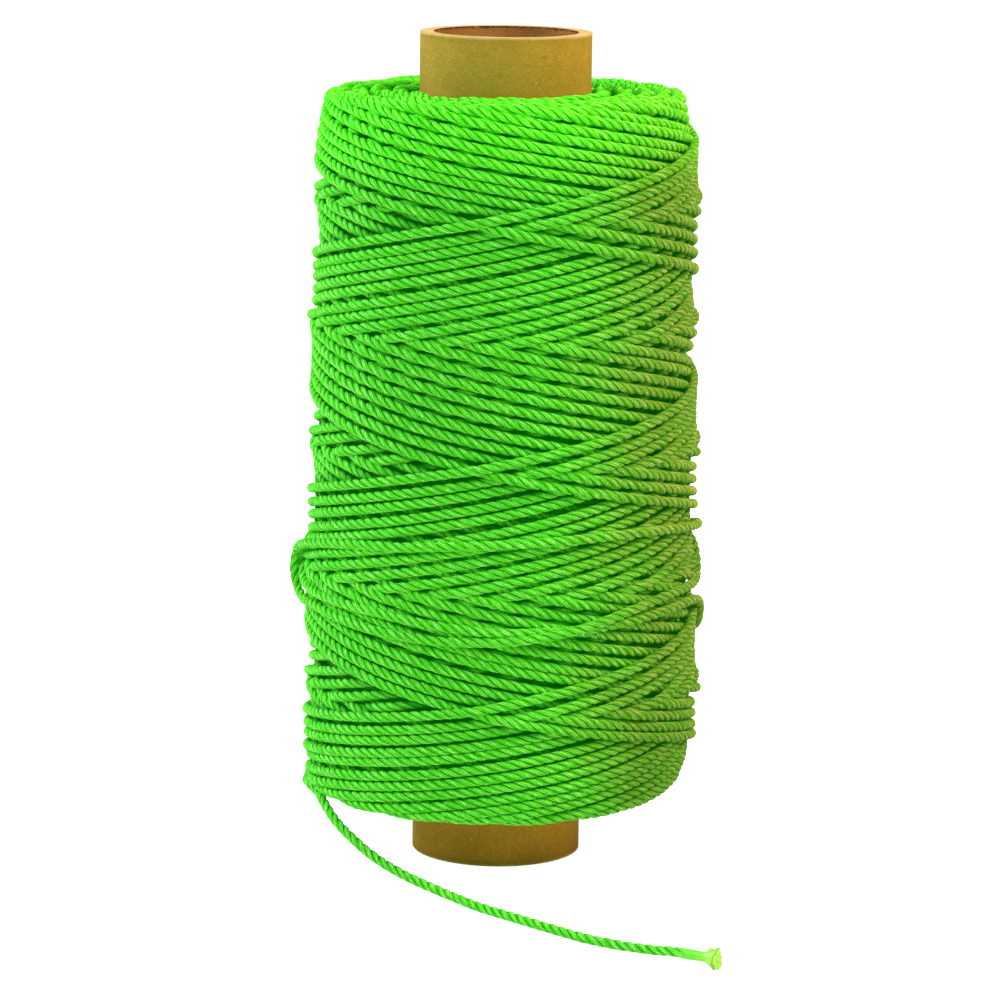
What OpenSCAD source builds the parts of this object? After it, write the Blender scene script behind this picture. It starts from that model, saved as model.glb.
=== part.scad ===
// Fishing line spool: one length of three-strand line cross-wound on a
// paperboard core. The free end runs off the foot of the winding and lies on the
// table in front of it, with its tip fused so that it can't unlay.
// Z is the core's axis, and the origin is the centre of the core's lower end.

/* [Core] */
// Length of the core
core_length = 114.3; // [100:0.1:150]
// Diameter of the bore, which goes over a spindle
bore_d = 19.05; // [15:0.05:24]
// Thickness of the liner ply and of the face ply
skin_ply = 0.4; // [0.3:0.05:0.6]
// Thickness of each of the two board plies between them
board_ply = 0.7; // [0.5:0.05:1]

/* [Winding] */
// Bare core below the winding
bare_foot = 9.3; // [6:0.1:14]
// Bare core above the winding
bare_head = 8.1; // [6:0.1:14]
// Diameter over the winding near its foot
foot_d = 54.8; // [52:0.1:60]
// Diameter over the winding near its head
head_d = 51.8; // [50:0.1:58]
// Radius of the rounded edges of the inner layers
edge_r = 3.4; // [2:0.1:5]
// Distance from the winding's end face to the line where it turns back
turn_inset = 2.2; // [1.5:0.1:4]

/* [Line] */
// Diameter of the line
line_d = 1.4; // [1:0.1:1.8]
// Double strokes, up the core and down again, in the outer layer
double_strokes = 4; // [3:1:4]
// Turns round the core in one double stroke, before the small shift between strokes
turns_per_double_stroke = 6; // [4:1:6]
// Direction in which the line leaves the winding, in degrees from +X
exit_angle = 180; // [150:5:200]
// Clear gap between the line going up and the line coming down over it
crossing_gap = 0.45; // [0.42:0.01:0.8]

/* [Fused tip] */
// Diameter of the flare where the strands were melted together
flare_d = 2.9; // [2:0.1:3.6]
// Diameter of the neck where the strands lie straight
neck_d = 1.2; // [0.8:0.1:1.6]
// Length of the neck
neck_length = 2.4; // [1.5:0.1:4]
// Length of the flare
flare_length = 2.1; // [1.5:0.1:3]

/* [Hidden] */

paper_colour = [0.72, 0.57, 0.34];
line_colour = [0.33, 0.85, 0.18];

// The core's walls, from the bore outwards
bore_r = bore_d / 2;
liner_r = bore_r + skin_ply;
inner_board_r = liner_r + board_ply;
outer_board_r = inner_board_r + board_ply;
core_r = outer_board_r + skin_ply;

// A loop of line is this many straight runs of six-sided tube, which cut inside
// the true circle by chord_sag and have a flat, not a corner, towards the core
runs_per_turn = 24;
line_sides = 6;
flat_r = line_d / 2 * cos(180 / line_sides);
chord_sag = max(foot_d, head_d) / 2 * (1 - cos(180 / runs_per_turn));
seat_gap = 0.02;

// Height of the line's centre above the inner layers: going up it lies on them,
// and coming down it crosses over every upward turn
up_rise = seat_gap + chord_sag + flat_r;
down_rise = up_rise + line_d + crossing_gap + chord_sag;

// The inner layers, under the outer one
pack_foot_z = bare_foot;
pack_head_z = core_length - bare_head;
pack_foot_r = foot_d / 2 - flat_r - down_rise;
pack_head_r = head_d / 2 - flat_r - down_rise;

// The outer layer's path. Each double stroke stops short of whole turns, so that
// all of them spread evenly round the winding.
stroke_turns = (turns_per_double_stroke - 1 / double_strokes) / 2;
total_turns = 2 * stroke_turns * double_strokes;
foot_turn_z = pack_foot_z + turn_inset;
head_turn_z = pack_head_z - turn_inset;
// Turns over which the line rounds off its change of direction
rounding_turns = 1 / 12;
stroke_rise = (head_turn_z - foot_turn_z) / (stroke_turns - rounding_turns);
// Turns on each side of a turning point in which the line changes layer
layer_change_turns = 0.06;
// Turns past the foot's turning point at which the outer layer begins
start_turns = 0.1;

// The free end lies this high on the table, and its tip rests on the flare
rest_z = line_d / 2 + 0.05;
tip_lift = (flare_d - line_d) / 2;

// Points on the free end's route past the winding: x, y and the height above rest_z
tail_points = [
    [-24.7, -6.2, 8],
    [-23.8, -9.2, 7.4],
    [-22.7, -12.1, 6.5],
    [-21.3, -14.7, 5.5],
    [-19.5, -17, 4.4],
    [-17.3, -19.2, 3.1],
    [-14.7, -21.6, 2],
    [-11.6, -24.3, 1.1],
    [-7.2, -28.6, 0.4],
    [-2.4, -33.8, 0],
    [2.4, -38.8, 0],
    [7.2, -43.6, 0],
    [11.8, -48, 0],
    [16.4, -51.4, 0.1],
    [20.8, -54.3, 0.4]
];
// Middle of the fused end's butt, and the direction in which it points
tip_butt = [25, -57.1, rest_z + tip_lift];
tip_angle = -28;
// Rings of tube between one route point and the next
rings_per_span = 2;

// ---- Vectors and tubes ----

function unit(v) = v / norm(v);

function smooth(t) = let (c = min(max(t, 0), 1)) c * c * (3 - 2 * c);

// Direction of a path at its point i, from the neighbours on either side
function heading(path, i) =
    unit(path[min(i + 1, len(path) - 1)] - path[max(i - 1, 0)]);

// Ring of corners round a path point, with flats facing along `facing`
function ring(centre, along, facing, radius, sides) =
    let (
        out = unit(facing - (facing * along) * along),
        side = cross(along, out)
    )
    [
        for (k = [0 : sides - 1])
            let (a = 360 * (k + 0.5) / sides)
            centre + radius * (cos(a) * out + sin(a) * side)
    ];

// Closed tube along a path, with a facing direction for each of its points
module tube(path, facings, radius, sides) {
    last = len(path) - 1;
    corners = [
        for (i = [0 : last])
            each ring(path[i], heading(path, i), facings[i], radius, sides)
    ];
    walls = [
        for (i = [0 : last - 1], k = [0 : sides - 1])
            let (
                a = i * sides + k,
                b = i * sides + (k + 1) % sides
            )
            each [[a, a + sides, b + sides], [a, b + sides, b]]
    ];
    start_cap = [for (k = [1 : sides - 2]) [0, k, k + 1]];
    end = last * sides;
    end_cap = [for (k = [1 : sides - 2]) [end, end + k + 1, end + k]];
    polyhedron(points = corners, faces = concat(walls, start_cap, end_cap));
}

// Least distance between the straight runs a-b and c-d
function run_distance(a, b, c, d) =
    let (
        u = b - a,
        v = d - c,
        w = a - c,
        uu = u * u,
        uv = u * v,
        vv = v * v,
        along_first = (uv * (v * w) - vv * (u * w)) / max(uu * vv - uv * uv, 1e-9),
        s0 = min(max(along_first, 0), 1),
        t = min(max((uv * s0 + v * w) / vv, 0), 1),
        s = min(max((uv * t - u * w) / uu, 0), 1)
    )
    norm(w + s * u - t * v);

// Least distance between any two runs of a path that don't share a point. Runs
// whose middles are further apart than `reach` are passed over.
function self_distance(path, reach) =
    let (
        last = len(path) - 2,
        middles = [for (i = [0 : last]) (path[i] + path[i + 1]) / 2]
    )
    min([
        for (i = [0 : last - 2], j = [i + 2 : last])
            if (norm(middles[i] - middles[j]) < reach)
                run_distance(path[i], path[i + 1], path[j], path[j + 1])
    ]);

// ---- Core ----

// One ply of the core: a strip of paper wound into a tube and glued
module core_ply(inner_r, outer_r) {
    color(paper_colour)
        difference() {
            cylinder(r = outer_r, h = core_length, $fn = 96);
            translate([0, 0, -1])
                cylinder(r = inner_r, h = core_length + 2, $fn = 96);
        }
}

module core_liner_ply() {
    core_ply(bore_r, liner_r);
}

module core_inner_board_ply() {
    core_ply(liner_r, inner_board_r);
}

module core_outer_board_ply() {
    core_ply(inner_board_r, outer_board_r);
}

module core_face_ply() {
    core_ply(outer_board_r, core_r);
}

// ---- Inner layers ----

// Radius over the inner layers at a height, before their edges are rounded
function pack_side(z) =
    let (t = (z - pack_foot_z) / (pack_head_z - pack_foot_z))
    pack_foot_r + t * (pack_head_r - pack_foot_r);

// Centres of the rounded edges at the foot and the head
foot_edge = [pack_side(pack_foot_z + edge_r) - edge_r, pack_foot_z + edge_r];
head_edge = [pack_side(pack_head_z - edge_r) - edge_r, pack_head_z - edge_r];

module line_pack() {
    side = unit(head_edge - foot_edge);
    outward = [side.y, -side.x] * edge_r;
    color(line_colour)
        rotate_extrude($fn = 96) {
            polygon([
                [core_r, pack_foot_z],
                [foot_edge.x, pack_foot_z],
                foot_edge + outward,
                head_edge + outward,
                [head_edge.x, pack_head_z],
                [core_r, pack_head_z]
            ]);
            for (edge = [foot_edge, head_edge])
                translate(edge)
                    circle(r = edge_r, $fn = 64);
        }
}

// ---- Outer layer: one unbroken line, up and down the core in turn ----

// Turns from a place on the line to its nearest turning point, going by strokes
function turns_to_end(turn) =
    let (into = turn - stroke_turns * floor(turn / stroke_turns))
    min(into, stroke_turns - into);

// True where the line is on its way up
function going_up(turn) = floor(turn / stroke_turns) % 2 == 0;

// Distance run from a turning point, in turns: a parabola near it, then straight
function run_from_turn(t) =
    t < rounding_turns ? t * t / rounding_turns / 2 : t - rounding_turns / 2;

// Height of the line. The last stroke runs straight on past the foot's turning
// point, down to where the line leaves.
function wrap_z(turn) =
    let (
        t = turns_to_end(turn),
        into = turn - stroke_turns * floor(turn / stroke_turns),
        near_foot = going_up(turn) == (into < stroke_turns / 2),
        leaving = turn > total_turns - stroke_turns / 2,
        run = stroke_rise * (leaving ? t - rounding_turns / 2 : run_from_turn(t))
    )
    near_foot ? foot_turn_z + run : head_turn_z - run;

// Height of the line above the inner layers. It changes layer at each turning
// point, but starts on the inner layers and leaves from the outer one.
function wrap_rise(turn) =
    let (
        upward = turn < stroke_turns / 2,
        leaving = turn > total_turns - stroke_turns / 2,
        turning = stroke_turns * round(turn / stroke_turns),
        share = smooth((turn - turning) / layer_change_turns / 2 + 0.5),
        at_head = round(turn / stroke_turns) % 2 == 1,
        down_share = at_head ? share : 1 - share
    )
    upward ? up_rise
    : leaving ? down_rise
    : up_rise + down_share * (down_rise - up_rise);

// Distance from the axis of a line laid `rise` above the inner layers. Past the
// start of a rounded edge it follows that edge's curve.
function laid_radius(z, rise) =
    let (
        edge = z < foot_edge.y ? foot_edge : head_edge,
        past = z < foot_edge.y ? foot_edge.y - z : max(z - head_edge.y, 0),
        reach = edge_r + rise,
        dip = reach - sqrt(reach * reach - past * past)
    )
    pack_side(z) + rise - dip;

function wrap_point(turn) =
    let (
        a = exit_angle + 360 * (turn - total_turns),
        z = wrap_z(turn),
        r = laid_radius(z, wrap_rise(turn))
    )
    [r * cos(a), r * sin(a), z];

wrap_runs = round((total_turns - start_turns) * runs_per_turn);
wrap_turns = [
    for (i = [0 : wrap_runs]) start_turns + (total_turns - start_turns) * i / wrap_runs
];
wrap_arc = [for (turn = wrap_turns) wrap_point(turn)];
wrap_start = unit(wrap_arc[0] - wrap_arc[1]);
wrap_exit = unit(wrap_arc[wrap_runs] - wrap_arc[wrap_runs - 1]);

// Both ends run straight for one diameter of the line
wrap_path = concat(
    [wrap_arc[0] + line_d * wrap_start],
    wrap_arc,
    [wrap_arc[wrap_runs] + line_d * wrap_exit]
);

function outward_from_axis(p) = unit([p.x, p.y, 0]);

module outer_wraps() {
    gap = self_distance(wrap_path, 4 * line_d + stroke_rise / runs_per_turn) - line_d;
    echo(str("least gap of the wound line to itself: ", gap, " mm"));
    color(line_colour)
        tube(wrap_path, [for (p = wrap_path) outward_from_axis(p)], line_d / 2, line_sides);
}

// ---- Free end ----

tail_start = wrap_path[len(wrap_path) - 1];
tip_heading = [cos(tip_angle), sin(tip_angle), 0];

// The route, with a straight stretch at each end
tail_route = concat(
    [tail_start, tail_start + line_d * wrap_exit],
    [for (p = tail_points) [p.x, p.y, p.z + rest_z]],
    [tip_butt - 2 * line_d * tip_heading, tip_butt]
);

// Smooth curve through four points in a row: the stretch from b to c, at t in 0-1
function curve_point(a, b, c, d, t) =
    0.5 * (2 * b + t * (c - a) + t * t * (2 * a - 5 * b + 4 * c - d)
        + t * t * t * (3 * b - a - 3 * c + d));

module line_tail() {
    last = len(tail_route) - 1;
    inner = [
        for (i = [1 : last - 2], k = [0 : rings_per_span - 1])
            curve_point(tail_route[i - 1], tail_route[i], tail_route[i + 1],
                tail_route[i + 2], k / rings_per_span)
    ];
    path = concat([tail_route[0]], inner, [tail_route[last - 1], tail_route[last]]);
    runs = [for (i = [1 : len(path) - 1]) norm(path[i] - path[i - 1])];
    echo(str("length of the free end: ", runs * [for (r = runs) 1], " mm"));
    color(line_colour)
        tube(path, [for (p = path) [0, 0, 1]], line_d / 2, 8);
}

// The tip: the lay opens into a straight neck, and the melted ends flare out
module fused_tip() {
    length = neck_length + flare_length;
    color(line_colour)
        translate(tip_butt)
            rotate([0, 90, tip_angle])
                rotate_extrude($fn = 48)
                    polygon([
                        [0, 0],
                        [neck_d / 2, 0],
                        [neck_d / 2, neck_length],
                        [flare_d * 0.36, neck_length + flare_length * 0.4],
                        [flare_d / 2, length - flare_length * 0.2],
                        [flare_d * 0.42, length],
                        [0, length - flare_length * 0.15]
                    ]);
}

core_liner_ply();
core_inner_board_ply();
core_outer_board_ply();
core_face_ply();
line_pack();
outer_wraps();
line_tail();
fused_tip();
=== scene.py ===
"""The looks of a spool of three-strand fishing line, cross-wound on a paperboard core.

Sizes are in metres, in the frame of the solids: Z is the core's axis, the origin is the centre
of the core's lower end, and the free end of the line runs towards -Y. An angle round the spool
is counted from the front, -Y, and grows towards +X, which is the way the line was wound.
"""

import math

import bpy
import numpy as np
from mathutils import Matrix, Vector


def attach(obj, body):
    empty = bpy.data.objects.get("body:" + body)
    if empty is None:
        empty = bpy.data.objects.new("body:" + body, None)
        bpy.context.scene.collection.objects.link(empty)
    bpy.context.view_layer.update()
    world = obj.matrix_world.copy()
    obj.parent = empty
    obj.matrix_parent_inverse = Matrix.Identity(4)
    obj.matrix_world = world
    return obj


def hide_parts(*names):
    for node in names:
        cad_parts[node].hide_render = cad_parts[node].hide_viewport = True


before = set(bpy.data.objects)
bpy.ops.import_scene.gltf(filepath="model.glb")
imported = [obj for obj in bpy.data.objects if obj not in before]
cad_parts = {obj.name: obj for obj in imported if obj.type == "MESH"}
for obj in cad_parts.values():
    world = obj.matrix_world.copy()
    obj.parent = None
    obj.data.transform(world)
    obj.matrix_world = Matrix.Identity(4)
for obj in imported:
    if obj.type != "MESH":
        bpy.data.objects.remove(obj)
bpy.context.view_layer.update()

MM = 0.001
TAU = 2 * math.pi

# ---- Sizes of the object ----

CORE_LENGTH = 114.3 * MM
BORE_RADIUS = 9.525 * MM
SKIN_PLY = 0.4 * MM
BOARD_PLY = 0.7 * MM
# The core has a liner, two boards and a face, from the bore outwards
CORE_RADIUS = BORE_RADIUS + SKIN_PLY + BOARD_PLY + BOARD_PLY + SKIN_PLY

LINE_RADIUS = 0.7 * MM
STRANDS = 3
LAY_LENGTH = 4.7 * MM

FOOT_Z = 9.3 * MM
HEAD_Z = 106.8 * MM
FOOT_RADIUS = 27.5 * MM
HEAD_RADIUS = 25.9 * MM
FOOT_SHOULDER = 5.0 * MM
HEAD_SHOULDER = 6.5 * MM

# ---- Camera, lights and floor ----

CAMERA_DISTANCE = 576.07 * MM
CAMERA_HEIGHT = 158.67 * MM
CAMERA_DOWN = math.radians(10.74)
CAMERA_ROLL = math.radians(0.775)
CAMERA_NEAREST = 10 * MM
SENSOR = 36.0
# Focal length in widths of the sensor
FOCAL_WIDTHS = 4.221
LIT_MIDDLE = (0, 0, 55 * MM)
# Each light's place, side, power and colour
LIGHTS = {
    "key_light": ((-0.44, -0.53, 0.75), 0.45, 5.7, (1.0, 1.0, 1.0)),
    "front_fill": ((0.25, -0.80, 0.25), 0.60, 1.0, (1.0, 0.99, 0.96)),
    "warm_side": ((0.50, -0.10, 0.50), 0.30, 5.4, (1.0, 0.73, 0.50)),
    "left_rim": ((-0.55, 0.20, 0.30), 0.35, 3.0, (0.97, 1.0, 1.0)),
}
WORLD_LIGHT = 0.24
FLOOR_CORNERS = [(-3, -3, 0), (3, -3, 0), (3, 3, 0), (-3, 3, 0)]
# Grey of the floor, and the light it gives off for the camera alone
FLOOR_GREY = 0.9
FLOOR_GLOW = 0.9


class Graph:
    """Nodes of one material, world or group, added and joined in short calls."""

    def __init__(self, tree):
        self.tree = tree

    def add(self, kind, inputs=(), **settings):
        """New node with its settings, and inputs given as values or as other nodes' sockets."""
        node = self.tree.nodes.new("ShaderNode" + kind)
        for name, value in settings.items():
            setattr(node, name, value)
        for key, value in dict(inputs).items():
            if isinstance(value, bpy.types.NodeSocket):
                self.tree.links.new(value, node.inputs[key])
            else:
                node.inputs[key].default_value = value
        return node

    def math(self, operation, a, b=0.0):
        """One arithmetic operation on two numbers."""
        return self.add("Math", {0: a, 1: b}, operation=operation).outputs[0]

    def times(self, a, b):
        """Product of two numbers."""
        return self.math("MULTIPLY", a, b)

    def scatter(self, noise, width):
        """Noise brought to a mean of 0 and to the given width."""
        return self.times(self.math("SUBTRACT", noise, 0.5), width)

    def mix(self, factor, a, b, blend="MIX"):
        """Mix of two colours by a factor."""
        node = self.add("Mix", {0: factor, 6: a, 7: b}, data_type="RGBA", blend_type=blend)
        return node.outputs[2]

    def tint(self, factor, colour, by):
        """Colour multiplied by another to the extent of a factor."""
        return self.mix(factor, colour, self.mix(1.0, colour, by, "MULTIPLY"))

    def ramp(self, value, low, high, to_low=0.0, to_high=1.0):
        """Smooth step from to_low to to_high as a value goes from low to high."""
        inputs = {0: value, 1: low, 2: high, 3: to_low, 4: to_high}
        return self.add("MapRange", inputs, interpolation_type="SMOOTHSTEP").outputs[0]

    def noise(self, vector, scale, detail=3.0, roughness=0.55):
        """Perlin noise, about 0 to 1 with a mean of 0.5."""
        inputs = {"Vector": vector, "Scale": scale, "Detail": detail, "Roughness": roughness}
        return self.add("TexNoise", inputs).outputs["Fac"]

    def stretched(self, x, x_scale, y, y_scale):
        """Vector of two numbers, each times a scale of its own."""
        inputs = {0: self.times(x, x_scale), 1: self.times(y, y_scale)}
        return self.add("CombineXYZ", inputs).outputs[0]

    def parts(self, vector):
        """The three parts of a vector or colour."""
        return self.add("SeparateXYZ", {0: vector}).outputs


def add_camera():
    """Camera above the spool's head, tilted down and rolled a little."""
    data = bpy.data.cameras.new("camera")
    data.sensor_width = SENSOR
    data.lens = SENSOR * FOCAL_WIDTHS
    data.clip_start = CAMERA_NEAREST
    camera = bpy.data.objects.new("camera", data)
    place = Matrix.Translation((0, -CAMERA_DISTANCE, CAMERA_HEIGHT))
    tilt = Matrix.Rotation(math.radians(90) - CAMERA_DOWN, 4, "X")
    camera.matrix_world = place @ tilt @ Matrix.Rotation(CAMERA_ROLL, 4, "Z")
    bpy.context.scene.collection.objects.link(camera)
    bpy.context.scene.camera = camera


def add_lights():
    """Square soft lights, each turned to face the middle of the spool."""
    for name, (place, side, power, colour) in LIGHTS.items():
        data = bpy.data.lights.new(name, "AREA")
        data.shape = "SQUARE"
        data.size = side
        data.energy = power
        data.color = colour
        light = bpy.data.objects.new(name, data)
        light.location = place
        towards = Vector(LIT_MIDDLE) - Vector(place)
        light.rotation_euler = towards.to_track_quat("-Z", "Y").to_euler()
        bpy.context.scene.collection.objects.link(light)


def add_world():
    """Pale grey light from all round, seen as white by the camera."""
    world = bpy.data.worlds.new("studio")
    bpy.context.scene.world = world
    world.use_nodes = True
    world.node_tree.nodes.clear()
    g = Graph(world.node_tree)
    light = g.add("Background", {"Color": (0.95, 0.97, 1.0, 1), "Strength": WORLD_LIGHT})
    seen = g.add("Background", {"Color": (1, 1, 1, 1)})
    to_camera = g.add("LightPath").outputs["Is Camera Ray"]
    mix = g.add("MixShader", {0: to_camera, 1: light.outputs[0], 2: seen.outputs[0]})
    g.add("OutputWorld", {"Surface": mix.outputs[0]})


def floor_material():
    """White surface that the camera sees as white, with the object's soft shadow kept."""
    material = bpy.data.materials.new("white_floor")
    material.use_nodes = True
    material.node_tree.nodes.clear()
    g = Graph(material.node_tree)
    surface = g.add("BsdfDiffuse", {"Color": (*[FLOOR_GREY] * 3, 1)})
    to_camera = g.add("LightPath").outputs["Is Camera Ray"]
    glow = g.add("Emission", {"Strength": g.times(to_camera, FLOOR_GLOW)})
    both = g.add("AddShader", {0: surface.outputs[0], 1: glow.outputs[0]})
    g.add("OutputMaterial", {"Surface": both.outputs[0]})
    return material


def add_floor():
    """Square floor under the spool."""
    mesh = bpy.data.meshes.new("floor")
    mesh.from_pydata(FLOOR_CORNERS, [], [(0, 1, 2, 3)])
    mesh.materials.append(floor_material())
    floor = bpy.data.objects.new("floor", mesh)
    bpy.context.scene.collection.objects.link(floor)


# ---- Meshes from numpy arrays ----


def new_piece(name, points, quads, caps, uvs, material):
    """Mesh object from points, four-cornered faces, many-cornered end caps and corner UVs.

    quads is (n, 4), caps is (m, k) with the same k for all, and uvs has one row per corner, the
    quads' corners first. Faces are shaded smooth, apart from the caps.
    """
    mesh = bpy.data.meshes.new(name)
    loops = np.concatenate([quads.ravel(), caps.ravel()]).astype(np.int32)
    totals = np.concatenate([np.full(len(quads), 4), np.full(len(caps), caps.shape[1])])
    starts = (np.cumsum(totals) - totals).astype(np.int32)
    mesh.vertices.add(len(points))
    mesh.vertices.foreach_set("co", np.asarray(points, np.float32).ravel())
    mesh.loops.add(len(loops))
    mesh.loops.foreach_set("vertex_index", loops)
    mesh.polygons.add(len(totals))
    mesh.polygons.foreach_set("loop_start", starts)
    mesh.polygons.foreach_set("use_smooth", np.arange(len(totals)) < len(quads))
    mesh.uv_layers.new(name="UVMap")
    mesh.uv_layers[0].data.foreach_set("uv", np.asarray(uvs, np.float32).ravel())
    mesh.update(calc_edges=True)
    mesh.validate()
    mesh.materials.append(material)
    piece = bpy.data.objects.new(name, mesh)
    bpy.context.scene.collection.objects.link(piece)
    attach(piece, "root")
    return piece


def tube_faces(first, count, level):
    """Faces and UVs that join each ring in `first` to the next one, with `count` points a ring.

    Across the UV map goes the share of a turn round the ring, and up it goes the rings' level.
    """
    j = np.arange(count)
    here, after = first[:, None] * count, (j + 1) % count
    corners = [here + j, here + after, here + count + after, here + count + j]
    quads = np.stack(corners, -1).reshape(-1, 4)
    turn = np.stack([j, j + 1, j + 1, j], -1) / count
    up = np.stack([level[first], level[first], level[first + 1], level[first + 1]], -1)
    u = np.broadcast_to(turn[None], (len(first), count, 4))
    v = np.broadcast_to(up[:, None, :], u.shape)
    return quads, np.stack([u, v], -1).reshape(-1, 2)


# ---- The line: three strands laid together ----

POINTS_PER_STRAND = 4
SECTION_POINTS = STRANDS * POINTS_PER_STRAND
RINGS_PER_LAY = 10
RING_STEP = LAY_LENGTH / RINGS_PER_LAY
# Depth of the valleys between the strands, as a share of the line's radius
VALLEY_DEPTH = 0.25
VALLEY_POWER = 2.5


def strand_valleys(count):
    """Angles round the laid line from a valley on, and how far each is down into a valley.

    That is x^2.5, where x is the share of the way from a strand's crest to the valley beside it.
    """
    angle = TAU * np.arange(count) / count
    strand = TAU / STRANDS
    return angle, (np.abs(angle % strand - strand / 2) / (strand / 2)) ** VALLEY_POWER


def smooth_step(share):
    """Smooth step 3 x^2 - 2 x^3 of a share x from 0 to 1."""
    return share * share * (3 - 2 * share)


def unit(vectors):
    """Vectors divided by their own lengths."""
    return vectors / np.linalg.norm(vectors, axis=-1, keepdims=True)


def path_length(path):
    """Distance along a path to each of its points."""
    steps = np.linalg.norm(np.diff(path, axis=0), axis=1)
    return np.append(0, np.cumsum(steps))


def laid_line_points(path, facing, along):
    """Points of a laid line round a path: the section turned once per lay length.

    Each ring stands square to the path. Angle 0 faces along `facing`, and the section turns by
    TAU x distance / lay length, right-handed, so the strands run as in a Z-laid rope.
    """
    heading = unit(np.gradient(path, axis=0))
    out = unit(facing - (facing * heading).sum(1, keepdims=True) * heading)
    side = np.cross(heading, out)
    angle, valley = strand_valleys(SECTION_POINTS)
    radius = LINE_RADIUS * (1 - VALLEY_DEPTH * valley)
    turned = (angle + (TAU * along / LAY_LENGTH)[:, None])[..., None]
    ring = np.cos(turned) * out[:, None] + np.sin(turned) * side[:, None]
    return path[:, None] + radius[:, None] * ring


def laid_line_piece(name, runs, material, crests=None):
    """One mesh of laid line for several runs, each a (path, facing, along) of its own.

    The faces join ring i to ring i + 1 within a run, and a flat cap closes each end. Across the
    UV map goes the angle round the turning section, in turns, and up it the distance along the
    line, in lay lengths from the last whole one before the run. The attribute "depth" is how far
    a point lies inside the winding's crests, in radii of the line.
    """
    count = SECTION_POINTS
    points = np.concatenate([laid_line_points(*run).reshape(-1, 3) for run in runs])
    lays = [run[2] / LAY_LENGTH for run in runs]
    level = np.concatenate([lay - math.floor(lay[0]) for lay in lays])
    lengths = np.array([len(run[0]) for run in runs])
    ends = np.cumsum(lengths)
    quads, uvs = tube_faces(np.delete(np.arange(ends[-1]), ends - 1), count, level)
    j = np.arange(count)
    bottoms = ((ends - lengths) * count)[:, None] + j[::-1]
    caps = np.concatenate([bottoms, ((ends - 1) * count)[:, None] + j])
    uvs = np.concatenate([uvs, np.zeros((caps.size, 2))])
    piece = new_piece(name, points, quads, caps, uvs, material)
    layer = piece.data.attributes.new("depth", "FLOAT", "POINT")
    deep = np.zeros(len(points)) if crests is None else depth_inside(crests, points)
    layer.data.foreach_set("value", (deep / LINE_RADIUS).astype(np.float32))
    return piece


# ---- The winding: the line laid pass by pass over what is already there ----

RANDOM_SEED = 11
# Turns round the core in one stroke from end to end. A double stroke stops 19.5 degrees
# short of six turns, so each pass lies beside the one before it.
STROKE_TURNS = (6 - 19.5 / 360) / 2
STROKES = 196
# The newest stroke leaves the foot at this angle and ends at the head
FOOT_ARRIVAL = math.radians(156.0)
HEAD_ARRIVAL = FOOT_ARRIVAL + TAU * STROKE_TURNS
# Turns over which the line slows down before a turning and speeds up after it
ROUNDING_TURNS = 0.07
STARTING_TURNS = 0.04
# After a turning the line moves along the core at this share of its speed for these turns
LAG = 0.80
LAG_TURNS = 0.48
CATCH_UP_TURNS = 0.1
# The newest turnings lie this much further in from the end faces
FOOT_INSET = 1.5 * MM
HEAD_INSET = 2.2 * MM
INSET_STROKES = 24
TURN_SCATTER = 0.25 * MM
# Each stroke wavers by this, in waves of these counts a stroke
WANDER = 0.12 * MM
WAVES = np.array([0.7, 1.9, 3.1, 7.3])
# The laid line gives a little where it crosses another
SQUASH = 0.46 * MM
# Share by which the wound package settles towards an even shape with each stroke
SETTLING = 0.08
# The winding is thicker by this on its +X side and thinner on the other
LEANING = 0.35 * MM
# The foot's edge is drawn in by this on its +X side, and less by a factor e with each reach up
FOOT_DRAW = 3.0 * MM
FOOT_DRAW_REACH = 1.8 * MM
FOOT_DRAW_SIDE = math.radians(70)
# Mean depth of the surface's hollows below the crests of its lines
HOLLOWS = 0.6 * MM
# Length over which a wrap's end goes down between the others, and how deep
TUCK_LENGTH = 7 * MM
TUCK_DEPTH = 1.5 * MM

ANGLE_STEPS = 480
HEIGHT_STEP = 0.1 * MM
# One step of angle, measured along the line at the winding's surface
ROUND_STEP = TAU * HEAD_RADIUS / ANGLE_STEPS
MAP_FOOT = FOOT_Z - 2 * MM
MAP_ROWS = int(round((HEAD_Z - FOOT_Z + 4 * MM) / HEIGHT_STEP))
POINTS_PER_STROKE = int(round(STROKE_TURNS * ANGLE_STEPS))


def winding_profile(z):
    """Outer radius of the winding at a height: a slight taper with a rounded edge at each end.

    At distance x from an end face, a shoulder of radius e takes e - sqrt(e^2 - (e - x)^2) off.
    """
    share = np.clip((z - FOOT_Z) / (HEAD_Z - FOOT_Z), 0, 1)
    radius = FOOT_RADIUS + (HEAD_RADIUS - FOOT_RADIUS) * share
    for x, e in ((z - FOOT_Z, FOOT_SHOULDER), (HEAD_Z - z, HEAD_SHOULDER)):
        into = np.clip(e - x, 0, e * 0.98)
        radius = radius - (e - np.sqrt(e**2 - into**2))
    return radius


def stroke_heights(newest, oldest, share):
    """Height along a stroke, from the share of its turns that is still to come.

    The line is carried along the core at full speed, apart from its start, where it speeds up
    and then lags for a while, and its end, where it slows down. The height is the sum of those
    speeds, scaled to reach from the oldest end to the newest.
    """
    from_start = (1 - share) * STROKE_TURNS
    to_end = share * STROKE_TURNS
    turns = [0, STARTING_TURNS, LAG_TURNS, LAG_TURNS + CATCH_UP_TURNS]
    lag = np.interp(from_start, turns, [0, LAG, LAG, 1])
    speed = np.minimum(lag, np.clip(to_end / ROUNDING_TURNS, 0, 1))
    run = np.cumsum(speed)
    return oldest + (newest - oldest) * run / run[-1]


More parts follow.
